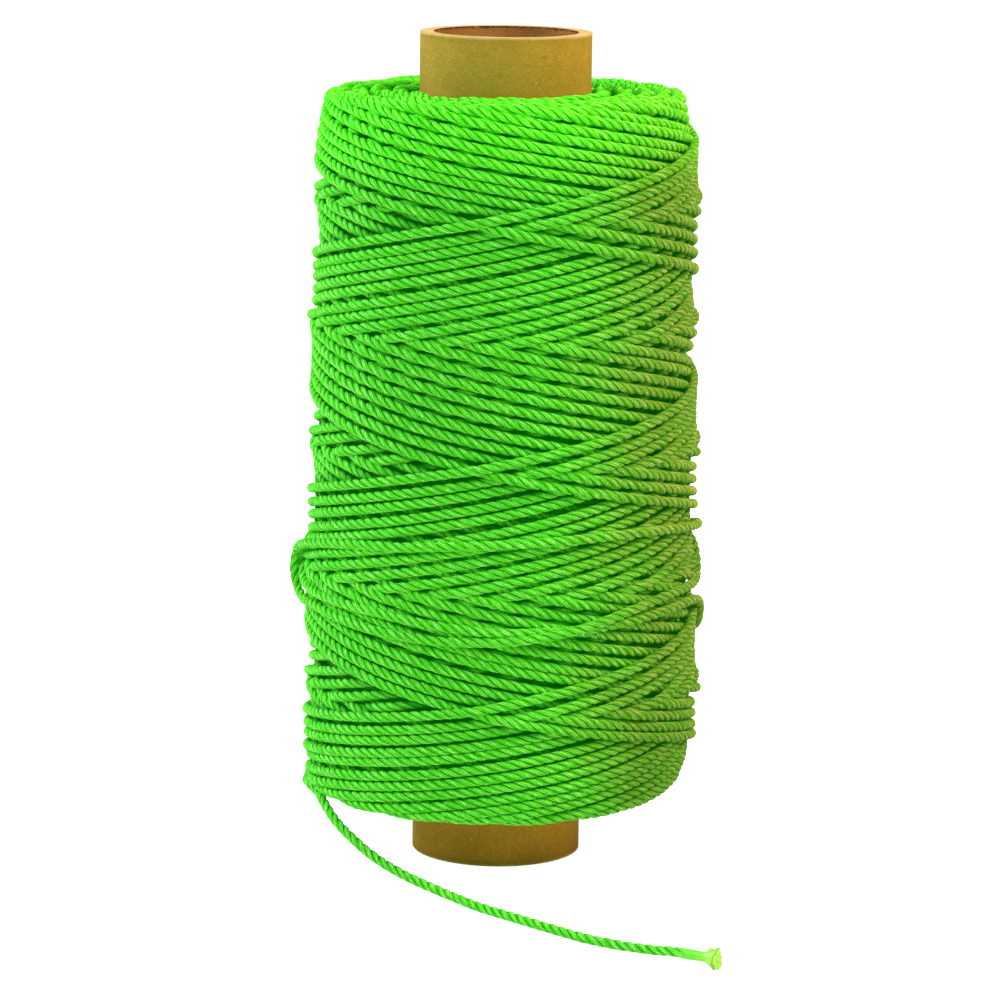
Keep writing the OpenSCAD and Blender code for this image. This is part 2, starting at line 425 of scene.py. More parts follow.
def turning_height(count, rng):
    """Height at which the line turns back, for the turning `count` strokes before the end.

    The last turnings are drawn in from the end faces, which rounds the winding's edges.
    """
    newness = max(0.0, 1 - count / INSET_STROKES)
    scatter = rng.normal() * TURN_SCATTER
    if count % 2 == 1:
        return FOOT_Z + LINE_RADIUS + FOOT_INSET * newness**2 + abs(scatter)
    return HEAD_Z - LINE_RADIUS - HEAD_INSET * newness**2 - abs(scatter)


def settled_radius(age):
    """Even radius of the package, over the map's heights, when `age` strokes are still to come.

    The section's area grows by the same amount with each stroke, so the radius squared does.
    """
    heights = MAP_FOOT + HEIGHT_STEP * np.arange(MAP_ROWS)
    profile = winding_profile(heights) - HOLLOWS
    middle = winding_profile((FOOT_Z + HEAD_Z) / 2) - HOLLOWS
    full = FOOT_RADIUS + (HEAD_RADIUS - FOOT_RADIUS) * (heights - FOOT_Z) / (HEAD_Z - FOOT_Z)
    grown = math.sqrt(CORE_RADIUS**2 + (middle**2 - CORE_RADIUS**2) * (1 - age / STROKES))
    share = (grown - CORE_RADIUS) / (middle - CORE_RADIUS)
    return np.minimum(profile, CORE_RADIUS + (full - HOLLOWS - CORE_RADIUS) * share)


def taut(contact, start=0, dip=(TAU / ANGLE_STEPS) ** 2 / 2, rounds=300):
    """Radius of a tight line over contact radii: it touches the high ones and is straight between.

    A straight run between two neighbours one step apart dips by r step^2 / 2 below their mean,
    so that rule is repeated, never going below the contact, until the line settles.
    """
    radius = contact.copy()
    radius[0] = max(start, contact[0])
    for _ in range(rounds):
        middle = (radius[:-2] + radius[2:]) / 2 * (1 - dip)
        radius[1:-1] = np.maximum(contact[1:-1], middle)
    return radius


def round_the_core(angle, height, radius):
    """Points at the given angles from the front, heights and radii."""
    return np.stack([radius * np.sin(angle), -radius * np.cos(angle), height], -1)


def map_cell(angle, height):
    """Column and row of the map in which places on the winding fall."""
    column = np.round(angle / TAU * ANGLE_STEPS).astype(int) % ANGLE_STEPS
    return column, np.round((height - MAP_FOOT) / HEIGHT_STEP).astype(int)


def lay_over(surface, angle, height, lean, start=0):
    """Lays a pass of line over the map, adds it to the map and returns its radii.

    Under each point, the line's round section rests on the highest part of the map that it
    spans: the largest of surface + sqrt(a^2 - s^2) at distances s across the line.
    """
    reach = int(LINE_RADIUS / HEIGHT_STEP)
    column, row = map_cell(angle, height)
    rows = row[:, None] + np.arange(-reach, reach + 1)
    across = (rows * HEIGHT_STEP + MAP_FOOT - height[:, None]) * lean
    bulge = np.sqrt(np.maximum(LINE_RADIUS**2 - across**2, 0))
    under = surface[column[:, None], rows]
    radius = taut((under + bulge).max(1) - SQUASH, start)
    raised = np.where(np.abs(across) < LINE_RADIUS, radius[:, None] + bulge, 0)
    surface[column[:, None], rows] = np.maximum(under, raised)
    return radius


def nearby(surface, pick, around, along):
    """Highest or lowest radius of the map within so many cells round the core and along it."""
    for axis, reach in enumerate((around, along)):
        rolled = [np.roll(surface, step, axis) for step in range(-reach, reach + 1)]
        surface = pick.reduce(rolled)
    return surface


def crest_map(surface):
    """The map's highest radius within about a line's width, smoothed along the core."""
    return box_mean(nearby(surface, np.maximum, 4, 9), 10, 1, False)


def box_mean(values, reach, axis, wrap):
    """Mean of an array over a window of 2 reach + 1 cells along one axis."""
    pad = [(0, 0), (0, 0)]
    pad[axis] = (reach + 1, reach)
    total = np.cumsum(np.pad(values, pad, "wrap" if wrap else "edge"), axis)
    width = 2 * reach + 1
    ahead = np.take(total, range(width, total.shape[axis]), axis)
    behind = np.take(total, range(total.shape[axis] - width), axis)
    return (ahead - behind) / width


def settling_in(surface):
    """Radius to add over the map so that its crests follow the winding's profile on the whole.

    It is the crests' lack, averaged over a quarter turn and over 8 mm along the core. The
    foot's edge is drawn in on one side, by the squared cosine of the angle from that side.
    """
    heights = MAP_FOOT + HEIGHT_STEP * np.arange(MAP_ROWS)
    angles = TAU * np.arange(ANGLE_STEPS) / ANGLE_STEPS
    leaning = LEANING * np.sin(angles)
    side = np.maximum(0, np.cos(angles - FOOT_DRAW_SIDE)) ** 2
    above_foot = np.maximum(heights - FOOT_Z, 0)
    drawn = FOOT_DRAW * side[:, None] * np.exp(-above_foot / FOOT_DRAW_REACH)
    lack = winding_profile(heights) + leaning[:, None] - crest_map(surface)
    lack = np.where((heights > FOOT_Z) & (heights < HEAD_Z), lack, 0)
    return box_mean(box_mean(lack, 40, 1, False), 60, 0, True) - drawn


def tucked_in(radius, step):
    """Depth by which a wrap goes down between the others towards its start."""
    return TUCK_DEPTH * smooth_step(np.clip(1 - np.arange(len(radius)) * step / TUCK_LENGTH, 0, 1))


def lay_winding():
    """Lays all strokes, oldest first, over a map of the package's radius over angle and height.

    Returns the angle, height and radius of the line's points in order, and the finished map.
    Each stroke wavers a little away from its ends. The newest ends tucked in between the others.
    """
    rng = np.random.default_rng(RANDOM_SEED)
    turnings = [turning_height(k, rng) for k in range(STROKES + 1)]
    surface = np.full((ANGLE_STEPS, MAP_ROWS), CORE_RADIUS)
    share = np.linspace(1, 0, POINTS_PER_STROKE + 1)[:-1]
    passes = []
    last = 0
    for k in range(STROKES - 1, -1, -1):
        angle = HEAD_ARRIVAL - TAU * STROKE_TURNS * (k + share)
        phases = rng.uniform(0, TAU, len(WAVES))
        wander = np.sin(share[:, None] * TAU * WAVES + phases).sum(1) / len(WAVES)
        wander *= np.minimum(1, np.minimum(share, 1 - share) * 20)
        height = stroke_heights(turnings[k], turnings[k + 1], share) + WANDER * wander
        settled = settled_radius(k)
        pitch = abs(turnings[k + 1] - turnings[k]) / STROKE_TURNS
        lean = 1 / math.hypot(1, pitch / (TAU * settled[MAP_ROWS // 2]))
        radius = lay_over(surface, angle, height, lean, last)
        last = radius[-1]
        surface += SETTLING * (settled[None, :] - surface)
        passes.append((angle, height, radius))
    angle, height, radius = [np.concatenate(part) for part in zip(*passes)]
    lift = settling_in(surface)
    radius += lift[map_cell(angle, height)]
    radius -= tucked_in(radius, ROUND_STEP)[::-1]
    return angle, height, radius, surface + lift


# Turns a point into the direction from the core's axis to it
OUTWARDS = np.array([1, 1, 0])


def smoothed(values, reach):
    """Values averaged with their neighbours, by weights that fall evenly to 0 past the reach."""
    weights = reach + 1 - np.abs(np.arange(-reach, reach + 1))
    return np.convolve(np.pad(values, reach, "edge"), weights / weights.sum(), "valid")


def places_along(path, along, places):
    """Points of a path at the given distances along it."""
    return np.stack([np.interp(places, along, column) for column in path.T], -1)


def divided(path):
    """Points of a path in even steps of about RING_STEP, and their distances along it."""
    along = path_length(path)
    places = np.linspace(0, along[-1], int(round(along[-1] / RING_STEP)) + 1)
    return places_along(path, along, places), places


def even_run(angle, height, radius):
    """Run of line through the given places, with its rings evenly spaced."""
    path, along = divided(round_the_core(angle, height, radius))
    return path, path * OUTWARDS, along


FACE_DEPTH = 2.4 * MM
HIDDEN_DEPTH = 0.9 * MM


def visible_runs(angle, height, radius, surface):
    """Runs of the wound line that can be seen, each as (path, facing, along).

    A point is kept if its top reaches within HIDDEN_DEPTH of the lowest surface within 4.5
    degrees round and 1.5 mm up and down, or if it lies within FACE_DEPTH of an end face. Kept
    runs are made a little longer at their ends.
    """
    radius = smoothed(radius, 2)
    path = round_the_core(angle, height, radius)
    column, row = map_cell(angle, height)
    low = nearby(surface, np.minimum, 6, 15)[column, row]
    kept = radius + LINE_RADIUS > low - HIDDEN_DEPTH
    kept |= (height - FOOT_Z < FACE_DEPTH) | (HEAD_Z - height < FACE_DEPTH)
    kept = np.convolve(kept, np.ones(13), "same") > 0.5
    along = path_length(path)
    rings = np.arange(0, along[-1], RING_STEP)
    even = places_along(path, along, rings)
    edges = np.flatnonzero(np.diff(np.pad(np.interp(rings, along, kept) > 0.5, 1)))
    run = (even, even * OUTWARDS, rings)
    return [tuple(part[i:j] for part in run) for i, j in zip(edges[::2], edges[1::2])]


# ---- The last wrap, which runs round the foot and out into the free end ----

# Where the free end leaves the winding, and its angle and radius there
EXIT = np.array([-26.331, -1.369, 9.845]) * MM
EXIT_ANGLE = math.atan2(EXIT[0], -EXIT[1]) + TAU
EXIT_RADIUS = math.hypot(EXIT[0], EXIT[1])


def last_wrap(surface):
    """Run of the last wrap, from between the others at the foot's newest turning to the exit.

    It sinks by the fourth power of its share, and over its last fifth its radius goes smoothly
    from the one at which it rests to the one at which it leaves. The free end carries on its
    twist, so the distance along the line is 0 at the exit.
    """
    steps = int((EXIT_ANGLE - FOOT_ARRIVAL) / TAU * ANGLE_STEPS)
    share = np.linspace(0, 1, steps)
    angle = FOOT_ARRIVAL + (EXIT_ANGLE - FOOT_ARRIVAL) * share
    start_height = FOOT_Z + LINE_RADIUS + FOOT_INSET
    height = start_height + (EXIT[2] - start_height) * share**4
    radius = lay_over(surface, angle, height, 1.0)
    radius = radius + (EXIT_RADIUS - radius) * smooth_step(np.clip(share * 5 - 4, 0, 1))
    radius = radius - tucked_in(radius, FOOT_RADIUS * TAU / ANGLE_STEPS)
    path, facing, along = even_run(angle, height, radius)
    return path, facing, along - along[-1]


# ---- Slack wraps: two turns that slipped and lie in loose bights over the others ----

# Points on each: angle round the spool in degrees, height in mm, and least radius in mm where
# that is more than SLACK_REST
SLACK_REST = 26.4
SLACK_INNER = [
    (-118, 44.0), (-104, 43.6, 26.6), (-93, 42.2, 27.0), (-88, 39.9, 27.3), (-84, 38.4, 27.1),
    (-74, 38.0), (-63.5, 38.0), (-52, 38.0), (-36, 37.8), (-17, 37.0), (0, 36.5), (12, 36.5),
    (24, 36.6), (37, 36.9), (53, 37.3), (65, 37.4), (77, 37.0, 27.4), (86, 35.9, 27.8),
    (90, 34.4, 28.1), (92, 32.8, 27.8), (97, 31.4, 27.2), (106, 30.4), (118, 29.6),
]
SLACK_OUTER = [
    (128, 43.0), (115, 44.2, 26.8), (100, 45.7, 27.3), (87, 46.8, 27.5), (73, 47.6, 27.2),
    (58, 48.4), (44, 48.9), (24, 48.9), (0, 48.4), (-17, 47.8), (-29, 47.2), (-43, 46.7),
    (-64, 45.3), (-80, 43.8, 27.6), (-87, 42.4, 27.9), (-88, 41.0, 28.4), (-88, 39.6, 28.6),
    (-87.5, 38.2, 28.3), (-86, 36.9, 27.8), (-79, 36.1, 27.2), (-67, 36.1), (-52, 35.8),
    (-36, 35.3), (-17, 35.0), (0, 35.3), (12, 36.0), (24, 37.0), (37, 38.2), (53, 39.3),
    (65, 39.5), (78, 39.4, 27.4), (87, 39.9, 27.4), (91, 41.2, 27.5), (96, 42.8, 27.2),
    (105, 44.0), (116, 45.0),
]
# Points taken on each curved piece of a route, before it is divided evenly
CURVE_STEPS = 60


def smooth_route(points):
    """Even steps along the Catmull-Rom curve through the given points, and their distances.

    Between b and c the curve is 0.5 (2b + t(c - a) + t^2(2a - 5b + 4c - d) +
    t^3(3b - a - 3c + d)).
    """
    points = np.asarray(points, float)
    ends = 2 * points[[0, -1]] - points[[1, -2]]
    p = np.concatenate([ends[:1], points, ends[1:]])
    t = np.linspace(0, 1, CURVE_STEPS, endpoint=False)[None, :, None]
    a, b, c, d = (p[i : len(p) - 3 + i, None] for i in range(4))
    curve = 2 * b + t * (c - a) + t**2 * (2 * a - 5 * b + 4 * c - d)
    curve = 0.5 * (curve + t**3 * (3 * b - a - 3 * c + d))
    return divided(np.concatenate([curve.reshape(-1, points.shape[1]), points[-1:]]))


def cells_under_line():
    """Steps round and along to each map cell under a round line, and the line's rise over it.

    The rise is sqrt(a^2 - d^2) at a distance d within the line's radius a.
    """
    across, along = (math.ceil(LINE_RADIUS / step) for step in (ROUND_STEP, HEIGHT_STEP))
    for i in range(-across, across + 1):
        for j in range(-along, along + 1):
            distance = math.hypot(i * ROUND_STEP, j * HEIGHT_STEP)
            if distance < LINE_RADIUS:
                yield i, j, math.sqrt(LINE_RADIUS**2 - distance**2)


def resting_radii(surface):
    """Map of the radius at which a line of any direction rests on each place of the surface."""
    lifted = [np.roll(surface, (-i, -j), (0, 1)) + rise for i, j, rise in cells_under_line()]
    return np.maximum.reduce(lifted)


def stamp(surface, angle, height, radius):
    """Adds a round line to the map: each place within its radius rises to the line's top there."""
    column, row = map_cell(angle, height)
    for i, j, rise in cells_under_line():
        np.maximum.at(surface, ((column + i) % ANGLE_STEPS, row + j), radius + rise)


def slack_run(points, surface):
    """Run of a slack wrap, as (path, facing, along), which is then added to the map.

    Its curve is smoothed through the points on the winding unrolled. It rests on the surface or
    stands off it at its least radius, and both its ends go down between the other wraps.
    """
    flat = [(math.radians(a) * HEAD_RADIUS, z * MM, (r or [SLACK_REST])[0] * MM)
            for a, z, *r in points]
    route, _ = smooth_route(flat)
    angle, height = route[:, 0] / HEAD_RADIUS, route[:, 1]
    resting = resting_radii(surface)[map_cell(angle, height)] - SQUASH
    radius = smoothed(taut(np.maximum(resting, route[:, 2]), dip=0, rounds=40), 3)
    tuck = tucked_in(radius, RING_STEP)
    radius = radius - tuck - tuck[::-1]
    stamp(surface, angle, height, radius)
    return even_run(angle, height, radius)


# Rings of line in one mesh, of which the last few may stay unused
RINGS_PER_PIECE = 8000
SPARE_RINGS = 8
# The end faces are taken this much further out when a point's depth is measured
FACE_SLACK = 0.2 * MM


def depth_inside(crests, points):
    """How far points lie inside the map of the winding's crests, and 0 outside it."""
    angle = np.arctan2(points[:, 0], -points[:, 1])
    column, row = map_cell(angle, np.clip(points[:, 2], FOOT_Z, HEAD_Z))
    from_side = crests[column, row] - np.hypot(points[:, 0], points[:, 1])
    from_face = np.minimum(points[:, 2] - FOOT_Z, HEAD_Z - points[:, 2])
    return np.maximum(0, np.minimum(from_side, from_face + FACE_SLACK))


def in_groups(runs):
    """Runs cut and collected into groups of about RINGS_PER_PIECE rings."""
    group, size, groups = [], 0, []
    for run in runs:
        done = 0
        while done < len(run[0]) - 1:
            stop = min(len(run[0]), done + RINGS_PER_PIECE - size)
            group.append(tuple(part[done:stop] for part in run))
            size += stop - done
            done = stop - 1
            if size >= RINGS_PER_PIECE - SPARE_RINGS:
                groups.append(group)
                group, size = [], 0
    return [*groups, group]


def add_winding(material):
    """Makes the pieces of wound line and the slack wraps that lie over them."""
    angle, height, radius, surface = lay_winding()
    crests = crest_map(surface)
    runs = visible_runs(angle, height, radius, surface)
    runs.append(last_wrap(surface))
    for number, group in enumerate(in_groups(runs), 1):
        piece = laid_line_piece(f"wound_line_{number:02d}", group, material, crests)
        if number == 1:
            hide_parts("outer_wraps")
    slack = [slack_run(points, surface) for points in (SLACK_INNER, SLACK_OUTER)]
    piece = laid_line_piece("slack_wraps", slack, material)


INNER_DEPTH = 3.0 * MM
# The inner winding goes this much further than the kept ends of the line, and into the core
INNER_OVERLAP = 0.4 * MM
INTO_CORE = 0.05 * MM
INNER_SIDES = 180
INNER_ROWS = 60


def add_inner_winding(material):
    """Solid body of the inner layers, far enough in that the modelled line covers it.

    It is a closed outline of radii and heights that is carried round the core.
    """
    ends = FOOT_Z + FACE_DEPTH - INNER_OVERLAP, HEAD_Z - FACE_DEPTH + INNER_OVERLAP
    heights = np.linspace(*ends, INNER_ROWS)
    radii = winding_profile(heights) - INNER_DEPTH
    radii = np.append(radii, [CORE_RADIUS - INTO_CORE] * 2)
    heights = np.append(heights, heights[[-1, 0]])
    steps, count = INNER_SIDES, len(radii)
    i, j = np.arange(steps)[:, None], np.arange(count)[None, :]
    level = np.broadcast_to(heights, (steps, count))
    points = round_the_core(TAU * i / steps, level, radii).reshape(-1, 3)
    after, next_j = (i + 1) % steps, (j + 1) % count
    corners = [i * count + j, after * count + j, after * count + next_j, i * count + next_j]
    quads = np.stack(corners, -1).reshape(-1, 4)
    u = np.broadcast_to(np.stack([i, i + 1, i + 1, i], -1) / steps, (steps, count, 4))
    along = path_length(np.stack([radii, heights], -1))
    v = np.broadcast_to(along[np.stack([j, j, next_j, next_j], -1)], u.shape)
    uvs = np.stack([u, v], -1).reshape(-1, 2)
    no_caps = np.zeros((0, 3), int)
    piece = new_piece("inner_winding", points, quads, no_caps, uvs, material)
    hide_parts("line_pack")


# ---- The free end and its fused tip ----

# Where the line meets its melted tip, and the headings there and at the exit
TIP_BUTT = np.array([25.0, -57.1, 1.5]) * MM
TIP_ANGLE = math.radians(-28)
TIP_HEADING = np.array([math.cos(TIP_ANGLE), math.sin(TIP_ANGLE), 0])
EXIT_HEADING = np.array([-0.0701, -0.9781, -0.1958])
UP = np.array([0, 0, 1.0])
# Length over which the free end's section turns from facing outwards to facing up
LEVELLING = 15 * MM
# Points on the route past the exit: x, y and z in mm, as in the solids
TAIL_POINTS = [
    (-24.7, -6.2, 8.75), (-23.8, -9.2, 8.15), (-22.7, -12.1, 7.25), (-21.3, -14.7, 6.25),
    (-19.5, -17.0, 5.15), (-17.3, -19.2, 3.85), (-14.7, -21.6, 2.75), (-11.6, -24.3, 1.85),
    (-7.2, -28.6, 1.15), (-2.4, -33.8, 0.75), (2.4, -38.8, 0.75), (7.2, -43.6, 0.75),
    (11.8, -48.0, 0.75), (16.4, -51.4, 0.85), (20.8, -54.3, 1.15),
]


def add_tail(material):
    """The free end: laid line whose section faces outwards at the exit and upwards on the table."""
    start = [EXIT, EXIT + 2 * LINE_RADIUS * EXIT_HEADING]
    end = [TIP_BUTT - 4 * LINE_RADIUS * TIP_HEADING, TIP_BUTT]
    path, along = smooth_route([*start, *np.array(TAIL_POINTS) * MM, *end])
    share = smooth_step(np.clip(along / LEVELLING, 0, 1)[:, None])
    facing = EXIT * OUTWARDS / EXIT_RADIUS * (1 - share) + UP * share
    piece = laid_line_piece("free_end", [(path, facing, along)], material)
    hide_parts("line_tail")
    return piece, path, along[-1]


TIP_LENGTH = 3.9 * MM
NECK_LENGTH = 2.1 * MM
NECK_RADIUS = 0.64 * MM
FLARE_RADIUS = 1.42 * MM
# Length of line before the butt over which the strands straighten and melt together
SOFTENED = 1.8 * MM
# The strands have melted away this far past the butt
MELTED_BY = 0.6 * MM
TIP_POINTS = 36
# Lowest height of the flare over the table
TIP_LIFT = 0.02 * MM
# Waves round the flare, as (count, depth, phase), and notches, as (angle, width, height)
FLARE_WAVES = [(3, 0.05, 0.6), (5, 0.05, 2.1), (9, 0.04, 4.0), (14, 0.03, 0.0)]
FLARE_NOTCHES = [(2.2, 0.16, -0.15), (4.9, 0.12, -0.12)]
# The rings past the rim, each as a share of the rim's radius, and how far ahead each lies
CLOSING = np.array([0.93, 0.75, 0.5, 0.25, 0.02])[:, None]
DISH = np.array([0.14, 0.10, -0.10, -0.22, -0.25])[:, None] * MM


def bump_round(turned, centre, width):
    """Bump of height 1 round the section, with the shape of exp(-(angle from centre/width)^2)."""
    apart = (turned - centre + math.pi) % TAU - math.pi
    return np.exp(-((apart / width) ** 2))


def add_fused_tip(at_butt, material):
    """The melted end: a grid of rings along the tip, closed by a dished, notched end face.

    Over the softened length the three strands fade and straighten, and along the neck the
    radius sinks from the line's to the neck's. Along the flare it grows to the flare's, times
    1 + a few waves and bumps round it, whose depth grows with the share. Past the rim the rings
    close in on a middle that lies a little inside.
    """
    around, valley = strand_valleys(TIP_POINTS)
    softened = np.linspace(-SOFTENED, NECK_LENGTH, 16)
    t = np.concatenate([softened, np.linspace(NECK_LENGTH, TIP_LENGTH, 14)[1:]])
    melted = np.clip((t + SOFTENED) / (SOFTENED + MELTED_BY), 0, 1)
    neck = smooth_step(np.clip(t / NECK_LENGTH, 0, 1))
    flare = np.clip((t - NECK_LENGTH) / (TIP_LENGTH - NECK_LENGTH), 0, 1)[:, None]
    plain = 1.01 * LINE_RADIUS + (NECK_RADIUS - LINE_RADIUS) * neck
    plain = plain[:, None] + (FLARE_RADIUS - NECK_RADIUS) * flare**1.1
    twisted = at_butt - SOFTENED * (1 - melted + melted**2 / 2)
    turned = around + (TAU * twisted / LAY_LENGTH)[:, None]
    valley = VALLEY_DEPTH * (1 - melted[:, None]) ** 0.8 * valley
    waves = sum(depth * np.sin(n * turned + phase) for n, depth, phase in FLARE_WAVES)
    waves += sum(rise * bump_round(turned, centre, w) for centre, w, rise in FLARE_NOTCHES)
    horn = 0.45 * bump_round(turned, -0.1, 0.22) * np.exp(-(((flare - 0.35) / 0.16) ** 2))
    radius = plain * (1 - valley) * (1 + waves * flare**1.5 + horn)
    ahead = t[:, None] + 0.2 * MM * flare**3 * np.sin(2 * turned + 1.0)
    middle = ahead[-1].mean()
    radius = np.concatenate([radius, radius[-1:] * CLOSING])
    ahead = np.concatenate([ahead, middle + (ahead[-1:] - middle) * CLOSING + DISH])
    turned = np.concatenate([turned, np.repeat(turned[-1:], len(CLOSING), 0)])[..., None]
    ring = np.cos(turned) * UP + np.sin(turned) * np.cross(TIP_HEADING, UP)
    points = TIP_BUTT + ahead[..., None] * TIP_HEADING + radius[..., None] * ring
    points[..., 2] = np.maximum(points[..., 2], TIP_LIFT)
    rows, count = radius.shape
    level = np.concatenate([t / TIP_LENGTH, 1 + 0.1 * np.arange(1, len(CLOSING) + 1)])
    quads, uvs = tube_faces(np.arange(rows - 1), count, level)
    caps = np.stack([np.arange(count)[::-1], (rows - 1) * count + np.arange(count)])
    uvs = np.concatenate([uvs, np.zeros((count, 2)), np.full((count, 2), 1.5)])
    piece = new_piece("melted_tip", points.reshape(-1, 3), quads, caps, uvs, material)
    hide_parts("fused_tip")
    return piece


# ---- Materials ----

YARNS = 3 * STRANDS

# The nylon: its two dyed tones, the painted highlight on its fibres, and the painted shade in its
# yarn grooves, strand valleys and hollows
DYED_TONES = ((0.060, 0.58, 0.009, 1), (0.085, 0.67, 0.014, 1))
FIBRE_HIGHLIGHT = (0.30, 0.95, 0.145, 1)
YARN_GROOVE_SHADE = (0.03, 0.42, 0.004, 1)
STRAND_VALLEY_SHADE = (0.003, 0.23, 0.0, 1)
HOLLOW_SHADE = (0.001, 0.17, 0.0, 1)
# Painted glow: green light given off evenly by the line, which keeps its hollows green
PAINTED_GLOW = (0.0, 0.055, 0.0, 1)
# Tints of the painted warm reflection on one side of the line, of the painted shade at its
# foot on that side, of the painted light on its head, and of the core's warmer foot
WARM_REFLECTION = (1.65, 0.42, 0.95, 1)
FOOT_SHADE = (0.58, 0.82, 0.55, 1)
HEAD_LIGHT = (1.15, 1.35, 0.8, 1)
FOOT_WARMTH = (1.38, 1.06, 0.86, 1)
# Side on which the wound line gets the painted warm reflection, as a direction in the ground plane
WARM_REFLECTION_SIDE = (math.sin(math.radians(80)), -math.cos(math.radians(80)), 0)
# How far out on that side the painted reflection begins and is full, and by how much that varies
WARM_REFLECTION_REACH = (9 * MM, 27.5 * MM)
WARM_REFLECTION_UNEVEN = 16 * MM
# Heights at which each tint begins and is full, where "below" runs downwards
WARM_REFLECTION_ABOVE = (6 * MM, 10 * MM)
FULL_WARM_REFLECTION_BELOW = (104 * MM, 94 * MM)
FOOT_SHADE_BELOW = (32 * MM, 12 * MM)
HEAD_LIGHT_ABOVE = (92 * MM, 103 * MM)
FOOT_WARMTH_BELOW = (30 * MM, 10 * MM)
# The tip: its neck's strands with painted shade in their valleys, its two melted tones and its
# scorched rim
NECK_TONES = ((0.02, 0.36, 0.002, 1), (0.12, 0.74, 0.02, 1))
MELTED_TONES = ((0.20, 0.66, 0.03, 1), (0.34, 0.82, 0.07, 1))
SCORCHED = (0.16, 0.12, 0.02, 1)
# Tones of the inner layers, dark as painted shade
INNER_TONES = ((0.004, 0.12, 0.002, 1), (0.02, 0.36, 0.008, 1))
# The papers, each in a dark and a light tone, and their cut edges
FACE_TONES = ((0.33, 0.218, 0.020, 1), (0.38, 0.252, 0.027, 1))
BOARD_TONES = ((0.50, 0.36, 0.14, 1), (0.64, 0.48, 0.21, 1))
LINER_TONES = ((0.26, 0.12, 0.025, 1), (0.36, 0.17, 0.04, 1))
FACE_EDGE = (0.60, 0.43, 0.14, 1)
LINER_EDGE = (0.03, 0.012, 0.006, 1)


def new_group(name, kind, *labels):
    """Graph of a new node group, and the sockets of its named inputs, all of one kind."""
    tree = bpy.data.node_groups.new(name, "ShaderNodeTree")
    for label in labels:
        tree.interface.new_socket(name=label, in_out="INPUT", socket_type="NodeSocket" + kind)
    return Graph(tree), tree.nodes.new("NodeGroupInput").outputs


def closed_group(g, outputs):
    """The group of a graph, once its named numbers are joined to its outputs."""
    for label in outputs:
        g.tree.interface.new_socket(name=label, in_out="OUTPUT", socket_type="NodeSocketFloat")
    leave = g.tree.nodes.new("NodeGroupOutput")
    for label, value in outputs.items():
        g.tree.links.new(value, leave.inputs[label])
    return g.tree


def twisted_strands_group():
    """Strand, yarn and fibre pattern from the angle round the turning section and the lays along.

    Strand is 0 in a valley and 1 on a strand, with valleys that fade here and there. Yarn is 0
    in the finer grooves between the yarns of a strand. Fibres are streaks along the yarns.
    """
    g, given = new_group("twisted_strands", "Float", "Around", "Along")
    around, along = given["Around"], given["Along"]
    fibres = g.noise(g.stretched(around, 24.0, along, 3.5), 1.0, 2.0)
    filled = g.noise(g.stretched(around, 5.0, along, 3.0), 1.0, 2.0)
    strand = g.ramp(g.math("PINGPONG", g.times(around, STRANDS), 0.5), 0.0, 0.25)
    strand = g.math("MAXIMUM", strand, g.ramp(filled, 0.45, 0.72, 0.0, 0.85))
    yarns = g.math("ADD", g.times(around, YARNS), g.scatter(fibres, 0.5))
    yarn = g.ramp(g.math("PINGPONG", yarns, 0.5), 0.0, 0.3)
    height = g.math("ADD", strand, g.times(fibres, 0.5))
    height = g.math("ADD", height, g.times(yarn, 0.3))
    return closed_group(g, {"Strand": strand, "Yarn": yarn, "Fibres": fibres, "Height": height})


def paper_fibres_group():
    """Pattern of recycled paper: mottling, fine grain, short fibres and pale or dark specks."""
    g, given = new_group("paper_fibres", "Vector", "Vector")
    vector = given["Vector"]
    lying = g.add("VectorMath", {0: vector, 1: (1, 1, 2.2)}, operation="MULTIPLY").outputs[0]
    fine = g.noise(vector, 2600.0, 2.0)
    waves = {"Vector": vector, "Scale": 420.0, "Distortion": 22.0, "Detail": 3.0}
    bands = g.add("TexWave", waves).outputs["Fac"]
    cells = g.add("TexVoronoi", {"Vector": vector, "Scale": 480.0}).outputs
    near = g.ramp(cells["Distance"], 0.16, 0.07)
    picked = g.parts(cells["Color"])
    outputs = {
        "Mottle": g.noise(vector, 160.0, 4.0),
        "Grain": g.noise(lying, 1900.0, 5.0, 0.65),
        "Fibres": g.times(g.ramp(bands, 0.86, 1.0), g.ramp(fine, 0.45, 0.65)),
        "Pale Specks": g.times(near, g.math("GREATER_THAN", picked[0], 0.9)),
        "Dark Specks": g.times(near, g.math("GREATER_THAN", picked[1], 0.95)),
    }
    return closed_group(g, outputs)


def new_material(name, specular=None, glow=None):
    """Material with its graph and its shader, on which fixed values are set directly."""
    material = bpy.data.materials.new(name)
    material.use_nodes = True
    shader = material.node_tree.nodes["Principled BSDF"]
    if specular is not None:
        shader.inputs["Specular IOR Level"].default_value = specular
    if glow is not None:
        shader.inputs["Emission Color"].default_value = glow
        shader.inputs["Emission Strength"].default_value = 1.0
    return material, Graph(material.node_tree), shader


def finish_material(g, shader, colour, roughness, height, strength, distance):
    """Joins colour, roughness and a bump from a height to the shader."""
    bump = g.add("Bump", {"Height": height, "Strength": strength, "Distance": distance})
    g.tree.links.new(colour, shader.inputs["Base Color"])
    g.tree.links.new(roughness, shader.inputs["Roughness"])
    g.tree.links.new(bump.outputs[0], shader.inputs["Normal"])


